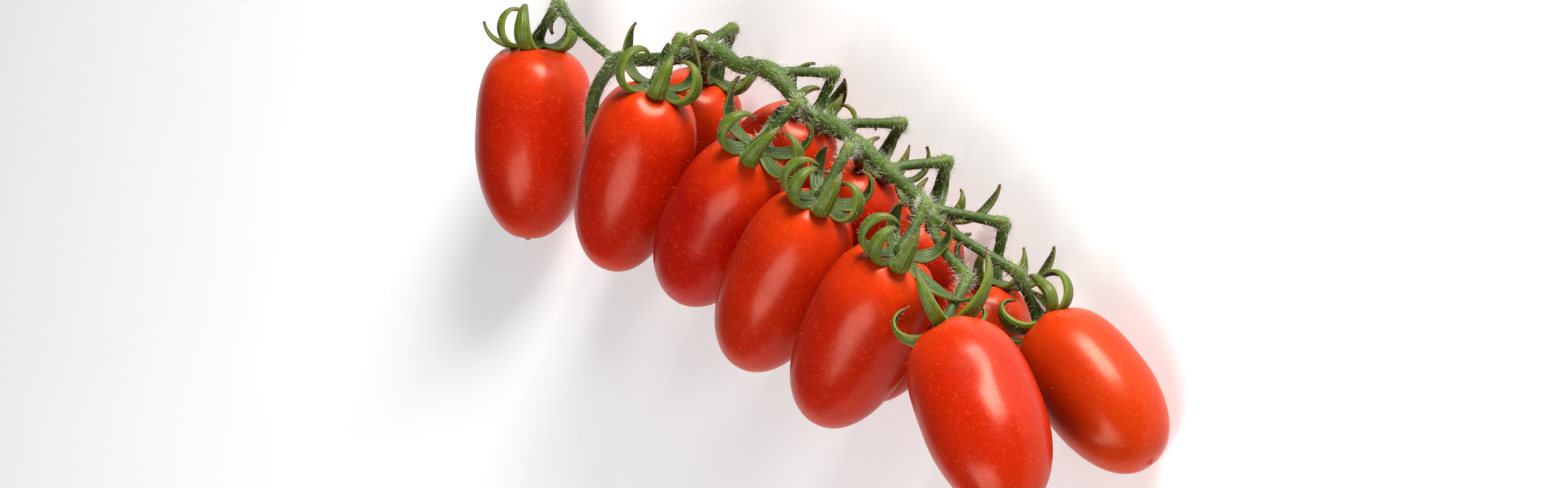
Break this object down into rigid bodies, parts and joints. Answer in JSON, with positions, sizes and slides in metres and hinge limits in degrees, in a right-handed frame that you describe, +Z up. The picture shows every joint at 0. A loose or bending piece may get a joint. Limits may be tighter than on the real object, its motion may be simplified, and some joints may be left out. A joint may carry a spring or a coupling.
{
  "type": "truss of tomatoes",
  "caption": "Truss of ripe small plum tomatoes on their green branching stem, each with its curled calyx, cut and lying on its side.",
  "frame": {"origin": "centre of the bounding box in X and Y, on the surface that the truss lies on", "axes": "+X along the truss from the cut stem to the last fruits, +Y to the side where the fruits hang from the stem, +Z up"},
  "size_m": [0.2316, 0.0786, 0.058],
  "materials": {
    "tomato_skin": "smooth waxy red skin, orange at the shoulder",
    "sepal_green": "soft green leaf with lighter edges and fine hairs",
    "stem_green": "green stem with fine white hairs and paler joints"
  },
  "bodies": {
    "root": {"main_stem": "stem_green", "pedicel_01": "stem_green", "calyx_01": "sepal_green", "tomato_01": "tomato_skin", "pedicel_02": "stem_green", "calyx_02": "sepal_green", "tomato_02": "tomato_skin", "pedicel_03": "stem_green", "calyx_03": "sepal_green", "tomato_03": "tomato_skin", "pedicel_04": "stem_green", "calyx_04": "sepal_green", "tomato_04": "tomato_skin", "pedicel_05": "stem_green", "calyx_05": "sepal_green", "tomato_05": "tomato_skin", "pedicel_06": "stem_green", "calyx_06": "sepal_green", "tomato_06": "tomato_skin", "pedicel_07": "stem_green", "calyx_07": "sepal_green", "tomato_07": "tomato_skin", "pedicel_08": "stem_green", "calyx_08": "sepal_green", "tomato_08": "tomato_skin", "pedicel_09": "stem_green", "calyx_09": "sepal_green", "tomato_09": "tomato_skin", "pedicel_10": "stem_green", "calyx_10": "sepal_green", "tomato_10": "tomato_skin", "pedicel_11": "stem_green", "calyx_11": "sepal_green", "tomato_11": "tomato_skin", "pedicel_12": "stem_green", "calyx_12": "sepal_green", "tomato_12": "tomato_skin"}
  },
  "joints": []
}
